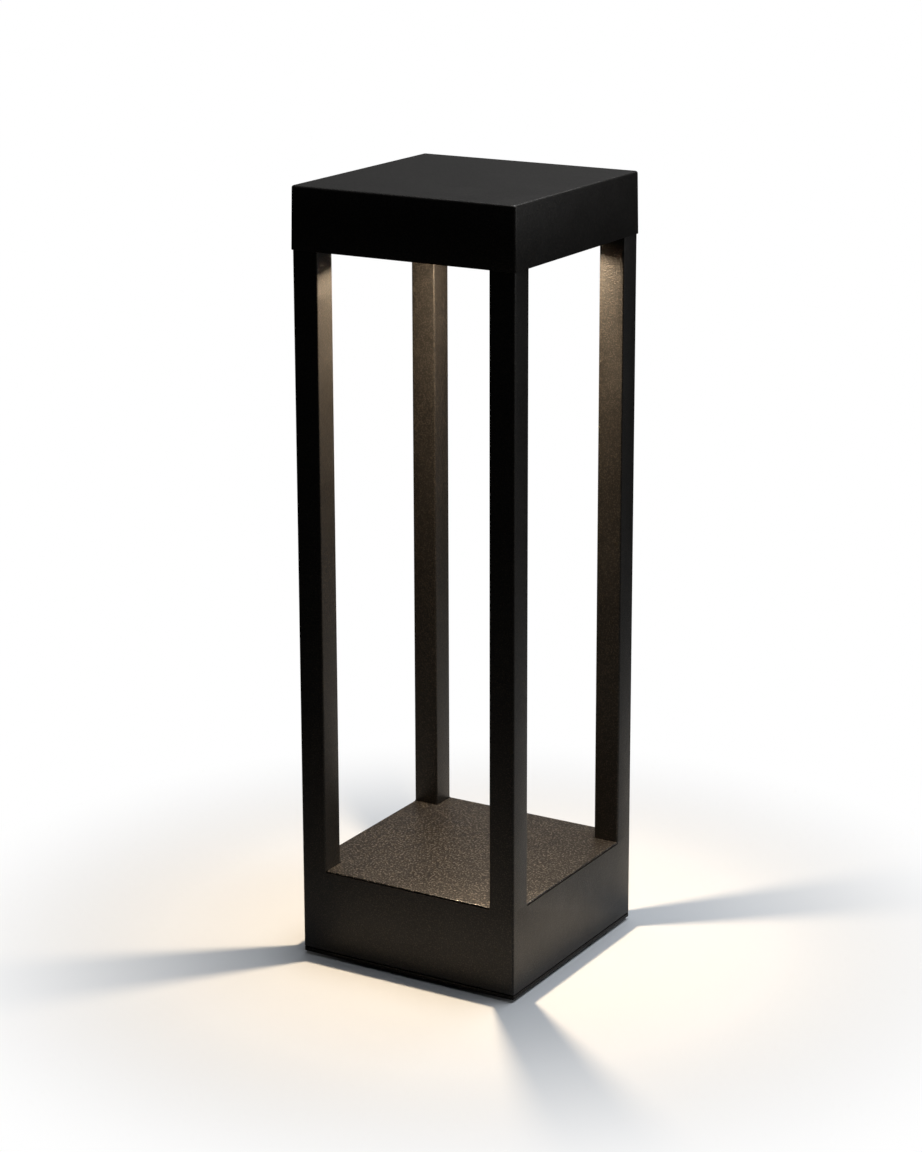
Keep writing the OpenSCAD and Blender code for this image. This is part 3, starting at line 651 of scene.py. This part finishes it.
base = block("base_housing_frame", base_low, base_high)
open_up(base)
pick_faces(base, lambda p, n: abs(n.z) > FACING)
bpy.ops.mesh.inset(thickness=base_wall * MM)
bpy.ops.mesh.delete(type="FACE")
pick_edges(base, lambda a, b: abs(a.z - b.z) < LEVEL
           and max(furthest(a), furthest(b)) < inner_half + 0.1)
bpy.ops.mesh.bridge_edge_loops()
bpy.ops.mesh.select_all(action="SELECT")
bpy.ops.mesh.normals_make_consistent(inside=False)
pick_edges(base, lambda a, b: upright(a, b) and abs(a.x) > inner_half + 1)
round_over(edge_radius, 5)
pick_edges(base, lambda a, b: both_at(base_low.z, a, b)
           and min(furthest(a), furthest(b)) > inner_half + 1, creased=True)
round_over(foot_r, 2)
print("base wall", base_wall, "mm, from", round(base_low.z, 1), "to", round(base_high.z, 1))

# %% Recess for the deck, pads, ledges and holes
for turn in (0, 1):
    slot_low, slot_high = [-post_in, -reach, deck_under], [post_in, reach, base_high.z + 2]
    if turn:
        slot_low[:2], slot_high[:2] = slot_low[1::-1], slot_high[1::-1]
    carve(base, block("deck recess", slot_low, slot_high))
pad_height, pad_out = 14, body_half - 1.75
pad = block("corner_pad", (post_in, post_in, base_high.z - pad_height),
            (pad_out, pad_out, base_high.z))
carve(base, *quarter_turns(pad), pad, how="UNION")
stud_at = (65.75, 25)
ledge_reach, ledge_half, ledge_height = 14, 6, 4
ledges = [block("ledge", (inner_half - ledge_reach, across - ledge_half, deck_under - ledge_height),
                (inner_half + 1, across + ledge_half, deck_under))
          for across in (-stud_at[1], stud_at[1])]
ledges += [quarter_turns(ledge, turns=(2,))[0] for ledge in ledges]
print(len(ledges), "ledges carry the deck at", round(deck_under, 1), "mm")
carve(base, *ledges, how="UNION")

# %% Drilling the base
def upright_rod(name, radius, x, y, low, high):
    """A round rod that stands upright at one place."""
    return rod(name, radius, (x, y, low), (x, y, high), 32)


cable_at = 64.7
stud_hole_r, cable_hole_r, screw_hole_r = 2.3, 2.8, 2.55
pad_under, ledge_under, over = 40, 50, 70  # heights the drills start from and reach
corner_signs = [(x, y) for x in (-1, 1) for y in (-1, 1)]
drills = [upright_rod("port", port_r, x * port_at, y * port_at, pad_under, over)
          for x, y in corner_signs]
drills += [upright_rod("stud hole", stud_hole_r, x * stud_at[0], y * stud_at[1], ledge_under, over)
           for x, y in corner_signs]
drills.append(upright_rod("cable hole", cable_hole_r, -cable_at, cable_at, pad_under, over))
set_screw_z = sum(c.z for c in span("body_set_screws")) / 2
set_screw_at = 15
within, beyond = 70, 90  # distances from the axis the side drills run between
for across in (-set_screw_at, set_screw_at):
    from_back = (across, within), (across, beyond)
    from_left = (-beyond, across), (-within, across)
    for start, end in (from_back, from_left):
        drills.append(rod("set screw hole", screw_hole_r,
                          (*start, set_screw_z), (*end, set_screw_z)))
carve(base, *drills)
hand_over(base, coat, "lantern", "base_housing")

# %% [markdown]
# ## The deck
# A thin plate closes the base between the posts. It lies a little inside the base's outer face, and
# its edge is round above, so that it catches a fine line of light, and rebated below, which leaves
# a dark seam that drains rain. Welded studs under it go through the ledges.

# %% The deck plate
deck_half = deck_high.x
undercut, rebate_depth = 0.7, 0.9  # the dark seam's height and depth under the edge
deck_edge = 0.6
stud_r = 2.0
undercut_z = deck_under + undercut
notch = post_in - 0.1
deck = block("deck_plate_top", (-deck_half, -deck_half, deck_under),
             (deck_half, deck_half, deck_high.z))
corner = block("notch", (notch, notch, deck_under - 2), (reach, reach, deck_high.z + 2))
carve(deck, *quarter_turns(corner), corner)
open_up(deck)
pick_edges(deck, lambda a, b: both_at(deck_high.z, a, b))
round_over(deck_edge, 4)
rebate = block("rebate", (-reach, -reach, deck_under - 1), (reach, reach, undercut_z))
core_half = deck_half - rebate_depth
carve(rebate, block("core", (-core_half, -core_half, deck_under - 2),
                    (core_half, core_half, undercut_z + 1)))
carve(deck, rebate)
studs = [upright_rod("stud", stud_r, x * stud_at[0], y * stud_at[1], deck_low.z, deck_high.z - 0.7)
         for x, y in corner_signs]
carve(deck, *studs, how="UNION")
# The deck wears the coat's paler copy, painted light for the lamp's light on it.
hand_over(deck, deck_coat_painted_light, "lantern", "deck_plate", slot=coat.name)

# %% [markdown]
# ## The ground plate, its pad and its lugs
# The light stands on an aluminium plate that is bolted down first. A rubber pad under it evens out
# the ground, and four lugs on it guide the base home. The plate's edge lines up with the base and
# shows as a thin band under a dark seal; its coat is a darker copy, painted shade for the shadow
# under the base.

# %% Plate and pad
plate_low, plate_high = span("ground_plate")
pad_low, pad_high = span("foot_pad")
anchor_at, anchor_hole_r = 50, 3.5
plate_bore_r = 9.0


def ground_sheet(name, low, high, corner_radius, top_edge, under_edge):
    """A square sheet with four anchor holes, the cable's hole and softened edges."""
    sheet = block(name, low, high)
    open_up(sheet)
    pick_edges(sheet, upright)
    round_over(corner_radius, 5)
    for height, radius in ((high.z, top_edge), (low.z, under_edge)):
        pick_edges(sheet, lambda a, b: both_at(height, a, b))
        round_over(radius, 3)
    under, above = low.z - 2, high.z + 2
    holes = [rod("anchor hole", anchor_hole_r,
                 (x * anchor_at, y * anchor_at, under), (x * anchor_at, y * anchor_at, above))
             for x, y in corner_signs]
    carve(sheet, *holes, rod("cable hole", plate_bore_r, (0, 0, under), (0, 0, above), 96))
    return sheet


plate = ground_sheet("ground_plate_sheet", plate_low, plate_high,
                     corner_radius=edge_radius, top_edge=0.35, under_edge=0.9)
# The plate wears the coat's darker copy, painted shade for the shadow under the base.
hand_over(plate, plate_coat_painted_shade, "ground_plate_body", "ground_plate", slot=coat.name)
pad_sheet = ground_sheet("foot_pad_sheet", pad_low, pad_high,
                         corner_radius=3.0, top_edge=0.3, under_edge=0.3)
hand_over(pad_sheet, rubber, "ground_plate_body", "foot_pad")

# %% Lugs with a lead-in
lug_low, lug_high = span("locating_lugs")
lug_thickness, lug_half = 3, 25
lead_in, lug_edge = 0.9, 0.5
lug = block("locating_lug", (lug_high.x - lug_thickness, -lug_half, lug_low.z),
            (lug_high.x, lug_half, lug_high.z))
open_up(lug)
pick_edges(lug, lambda a, b: both_at(lug_high.z, a, b))
round_over(lead_in, 3)
pick_edges(lug, upright)
round_over(lug_edge, 2)
for piece in (lug, *quarter_turns(lug)):
    hand_over(piece, coat, "ground_plate_body", "locating_lugs")

# %% [markdown]
# ## Turned and moulded round parts
# The cable's grommet, the glass, the reflector and the phosphor are all round about the same axis.
# Each is drawn as half a section and spun, which gives a smooth wall and the right thickness in one
# step.

# %% The grommet in the ground plate
grommet_low, grommet_high = span("cable_grommet")
cable_bore_r, flange_r = 5.0, grommet_high.x
mouth, flange_edge = 0.6, 0.7  # chamfers of the bore's two ends and of the flange
grommet = turned("cable_grommet_moulding", [
    (cable_bore_r + mouth, grommet_low.z), (plate_bore_r, grommet_low.z),
    (plate_bore_r, plate_high.z), (flange_r, plate_high.z),
    (flange_r, grommet_high.z - flange_edge), (flange_r - flange_edge, grommet_high.z),
    (cable_bore_r + mouth, grommet_high.z), (cable_bore_r, grommet_high.z - mouth),
    (cable_bore_r, grommet_low.z + mouth)])
hand_over(grommet, rubber, "ground_plate_body", "cable_grommet")

# %% Glass, reflector and phosphor
glass_low, glass_high = span("lens_glass")
glass_r, ground_edge = glass_high.x, 0.4
lens = turned("lens_disc", [
    (0, glass_low.z), (glass_r - ground_edge, glass_low.z), (glass_r, glass_low.z + ground_edge),
    (glass_r, glass_high.z - ground_edge), (glass_r - ground_edge, glass_high.z),
    (0, glass_high.z)])
lens.visible_shadow = False
hand_over(lens, glass, "lantern", "lens_glass")

mirror_low, mirror_high = span("reflector")
mirror_r, hole_r, skin = mirror_high.x, 7.5, 0.8
bowl_bend = 1.6  # 1 would be a cone; more makes a rounder bowl
rise = mirror_high.z - mirror_low.z - skin
run = mirror_r - skin - hole_r
inside = [(mirror_r - skin - run * t, mirror_low.z + rise * (1 - (1 - t) ** bowl_bend))
          for t in (0, 0.25, 0.5, 0.75, 1)]
print("reflector from", round(mirror_low.z, 1), "to", round(mirror_high.z, 1))
outside = [(r + skin * 0.9, z + skin * 0.8) for r, z in reversed(inside)]
outside[0] = (hole_r, mirror_high.z)
outside[-1] = (mirror_r, mirror_low.z)
reflector = turned("reflector_bowl", [*inside, *outside])
hand_over(reflector, bright, "lantern", "reflector")

dot_low, dot_high = span("led_emitter")
dot_r = dot_high.x
source = turned("phosphor_dot", [
    (0, dot_low.z), (dot_r * 0.8, dot_low.z + 0.08), (dot_r * 0.97, dot_low.z + 0.25),
    (dot_r, dot_high.z), (0, dot_high.z)], 64)
hand_over(source, glowing, "lantern", "led_emitter")

# %% [markdown]
# ## Set screws
# Two short set screws in the back and two in the left side lock the base to the plate. Each is a
# threadless stub here with a chamfered end and a hexagon socket for the key.

# %% One set screw and its copies
stub_r, stub_length, stub_sink, stub_edge = 2.5, 2.9, 0.2, 0.25
socket_r, socket_depth = 1.25, 1.8
stub_top = body_half - stub_sink
stub_end = stub_top - stub_length


def along_y(name, radius, start, end, sides=48):
    """A rod at the set screw's place, between two distances from the axis."""
    return rod(name, radius, (set_screw_at, start, set_screw_z),
               (set_screw_at, end, set_screw_z), sides)


stub = along_y("set_screw", stub_r, stub_end, stub_top)
socket = along_y("socket", socket_r, stub_top - socket_depth, stub_top + 1, 6)
open_up(stub)
pick_edges(stub, lambda a, b: abs(a.y - b.y) < LEVEL)
round_over(stub_edge, 2)
carve(stub, socket)
second = own_copy(stub, "set_screw_mate")
second.data.transform(Matrix.Translation((-2 * set_screw_at * MM, 0, 0)))
screws = [stub, second, *quarter_turns(stub, (1,)), *quarter_turns(second, (1,))]
for piece in screws:
    hand_over(piece, blackened, "lantern", "body_set_screws")

# %% [markdown]
# ## Parts whose shape is already right
# The driver, the terminal block, the heat sink, the connector and the gear tray sit inside and show
# only when the light is opened. The CAD shape is right, but its edges are perfectly sharp. A copy
# is welded and its edges are broken a little, so that they catch light as real ones do.

# %% Softened copies
def softened(node, width):
    """A welded copy of a CAD part with its sharp edges broken by width millimetres."""
    copy = own_copy(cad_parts[node], f"{node}_softened")
    copy.parent = None
    for key in list(copy.keys()):
        del copy[key]
    open_up(copy)
    bpy.ops.mesh.customdata_custom_splitnormals_clear()
    bpy.ops.mesh.select_all(action="SELECT")
    bpy.ops.mesh.remove_doubles(threshold=WELD)
    bpy.ops.mesh.dissolve_limited(angle_limit=math.radians(1))
    take(copy)
    step = copy.modifiers.new("soften", "BEVEL")
    step.width, step.segments = width * MM, 2
    step.limit_method, step.angle_limit = "ANGLE", math.radians(40)
    bpy.ops.object.modifier_apply(modifier=step.name)
    return copy


for node, width, finish in (("heat_sink", 0.3, aluminium), ("led_driver", 0.8, plastic),
                            ("terminal_block", 0.5, nylon), ("gear_tray", 0.3, zinc),
                            ("led_connector", 0.4, plastic)):
    hand_over(softened(node, width), finish, "lantern", node)

# %% [markdown]
# The rest of the CAD parts stay as they are. Each takes the finish of its material, by name.

# %% Finishes for the CAD parts that stay
finishes = {material.name: material for material in (
    coat, rubber, stainless, blackened, zinc, aluminium, bright, glass, mask, glowing, silicone,
    plastic, nylon, sheath, red_skin, black_skin, brown_skin, blue_skin, earth_skin)}
for node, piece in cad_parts.items():
    for place in piece.material_slots:
        place.material = finishes[place.material.name.removeprefix("cad_")]
kept = [node for node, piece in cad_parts.items() if not piece.hide_render]
print(len(kept), "CAD parts keep their shape:", ", ".join(sorted(kept)))

# %% [markdown]
# ## Floor and lights
# The light stands on a pale floor that fades to white. Three soft boxes light it, as in a studio: a
# large strong one above and behind, a weaker one at the right that lifts the right-hand faces, and
# a faint one behind that brushes the top of the cap. The lamp itself is lit too: a small warm disc
# above the glass shines down and moves with the lantern, and the posts throw long shadows outwards
# from the corners. The floor's colour for the eye differs from its colour for bounced light, so
# that a bright floor doesn't fill the object's dark sides.

# %% Helpers for the floor
WHITE = (1.0, 1.0, 1.0)


def distance_from(tree, place, centre):
    """How far each point is from a centre, in metres."""
    distance = tree.nodes.new("ShaderNodeVectorMath")
    distance.operation = "DISTANCE"
    distance.inputs[1].default_value = centre
    tree.links.new(place, distance.inputs[0])
    return distance.outputs["Value"]


def mix_shaders(tree, amount, first, second, output):
    """Send to the output the first shader where the amount is 0 and the second where it is 1."""
    mix = tree.nodes.new("ShaderNodeMixShader")
    tree.links.new(amount, mix.inputs["Fac"])
    tree.links.new(first, mix.inputs[1])
    tree.links.new(second, mix.inputs[2])
    tree.links.new(mix.outputs["Shader"], tree.nodes[output].inputs["Surface"])

# %% The floor
def pale_floor():
    """Matt pale floor whose far part is plain white to the eye and gives off little light."""
    material, tree, surface, place = new_material("pale_floor")
    away = distance_from(tree, place, (0, 0, 0))
    spill = distance_from(tree, place, (0.12, 0.15, 0))
    eye = tree.nodes.new("ShaderNodeLightPath").outputs["Is Camera Ray"]
    seen_colour = blend_colours(
        tree, away, (0.20, (0.31, 0.333, 0.362)), (0.60, (0.03, 0.03, 0.03)))
    spill_colour = blend_colours(
        tree, spill, (0.20, (0.31, 0.32, 0.33)), (0.62, (0.02, 0.02, 0.02)))
    colour = mix_colours(tree, eye, spill_colour, seen_colour)
    grain = noise(tree, place, 1.5, detail=3)
    wire_up(tree, surface, colour, spread(tree, grain, 0.8, 0.9), relief(tree, grain, 0.02, 0.2))
    surface.inputs["Specular IOR Level"].default_value = 0.1
    fade = rescale(tree, away, 0.08, 0.39)
    fade.interpolation_type = "SMOOTHSTEP"
    seen = tree.nodes.new("ShaderNodeMath")
    seen.operation = "MULTIPLY"
    tree.links.new(fade.outputs["Result"], seen.inputs[0])
    tree.links.new(eye, seen.inputs[1])
    far = tree.nodes.new("ShaderNodeEmission")
    far.inputs["Color"].default_value = (*WHITE, 1)
    mix_shaders(tree, seen.outputs["Value"], surface.outputs["BSDF"], far.outputs["Emission"],
                "Material Output")
    return material


floor_side = 12  # metres
floor_level = -0.2 * MM  # just under the foot pad, so that no two faces share a plane
clear_selection()
bpy.ops.mesh.primitive_plane_add(size=floor_side, location=(0, 0, floor_level))
floor = settle("floor")
floor.data.materials.append(pale_floor())
floor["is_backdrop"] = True
print("floor", floor_side, "m square")

# %% The soft boxes and the lamp
def area_light(name, shape, size, watts, colour, place, aim):
    """A soft light at a place, turned towards its aim."""
    data = bpy.data.lights.new(name, "AREA")
    data.shape, data.size, data.energy, data.color = shape, size, watts, colour
    light = bpy.data.objects.new(name, data)
    light.location = place
    light.rotation_euler = (Vector(aim) - Vector(place)).to_track_quat("-Z", "Y").to_euler()
    bpy.context.scene.collection.objects.link(light)
    return light


middle = (0, 0, 0.3)
for name, size, watts, place in (("soft_box", 1.6, 76, (0.35, 0.45, 2.2)),
                                 ("side_box", 1.2, 8.5, (1.9, 0.9, 0.7)),
                                 ("back_box", 1.4, 0.7, (-1.1, 1.9, 0.9))):
    area_light(name, "SQUARE", size, watts, WHITE, place, middle)

lamp_size, lamp_watts, warm_white = 20 * MM, 6.0, (1.0, 0.76, 0.51)
lamp_z = (glass_high.z + 2.0) * MM
lamp = area_light("lamp", "DISK", lamp_size, lamp_watts, warm_white, (0, 0, lamp_z), (0, 0, 0))
lamp.visible_camera = False
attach(lamp, "lantern")
print("lamp at", round(lamp_z / MM, 1), "mm")

# %% A white room that gives off hardly any light
sky_strength = 0.02
world = bpy.data.worlds.new("studio")
world.use_nodes = True
bpy.context.scene.world = world
room = world.node_tree
sky, white = room.nodes["Background"], room.nodes.new("ShaderNodeBackground")
for background in (sky, white):
    background.inputs["Color"].default_value = (*WHITE, 1)
sky.inputs["Strength"].default_value = sky_strength
eye = room.nodes.new("ShaderNodeLightPath").outputs["Is Camera Ray"]
mix_shaders(room, eye, sky.outputs["Background"], white.outputs["Background"], "World Output")
bpy.context.scene.view_settings.view_transform = "Standard"
print("room lights the object with", sky_strength, "and looks white")

# %% [markdown]
# ## The camera
# The camera looks down a little from the front right, with a long lens from about two metres. Its
# turn is built from two angles and a trace of roll, and its place is a point in millimetres from
# the middle of the ground plate. A small shift of the film moves the object within the frame
# without tilting the camera further.

# %% Place the camera
camera_data = bpy.data.cameras.new("camera")
camera = bpy.data.objects.new("camera", camera_data)
bpy.context.scene.collection.objects.link(camera)
bpy.context.scene.camera = camera
azimuth, elevation, roll = math.radians(30.6172), math.radians(14.5607), math.radians(0.1616)
camera_place = Vector((918.4605, -1560.3851, 776.2549)) * MM
image_height, focal_pixels = 1152, 2968.8913
camera_data.sensor_fit = "AUTO"
camera_data.sensor_width = 36
camera_data.lens = focal_pixels / image_height * camera_data.sensor_width
camera_data.shift_y = -0.08
camera_data.clip_end = 100
back = Vector((math.sin(azimuth) * math.cos(elevation),
               -math.cos(azimuth) * math.cos(elevation), math.sin(elevation)))
right = Vector((math.cos(azimuth), math.sin(azimuth), 0))
up = back.cross(right)
turn = Matrix((right, up, back)).transposed()
camera.rotation_euler = (turn @ Matrix.Rotation(-roll, 3, "Z")).to_euler()
camera.location = camera_place
print("lens", round(camera_data.lens, 1), "mm, from", round(camera.location.length, 2), "m")

# %% [markdown]
# ## Checking the size and finishing
# The dressed model must be exactly as large as the CAD model.

# %% Compare the boxes and finish
clear_selection()
visual_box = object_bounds()
for name, cad, visual in zip("xyz", cad_box[1] - cad_box[0], visual_box[1] - visual_box[0]):
    print(name, "CAD", round(cad / MM, 2), "visual", round(visual / MM, 2))
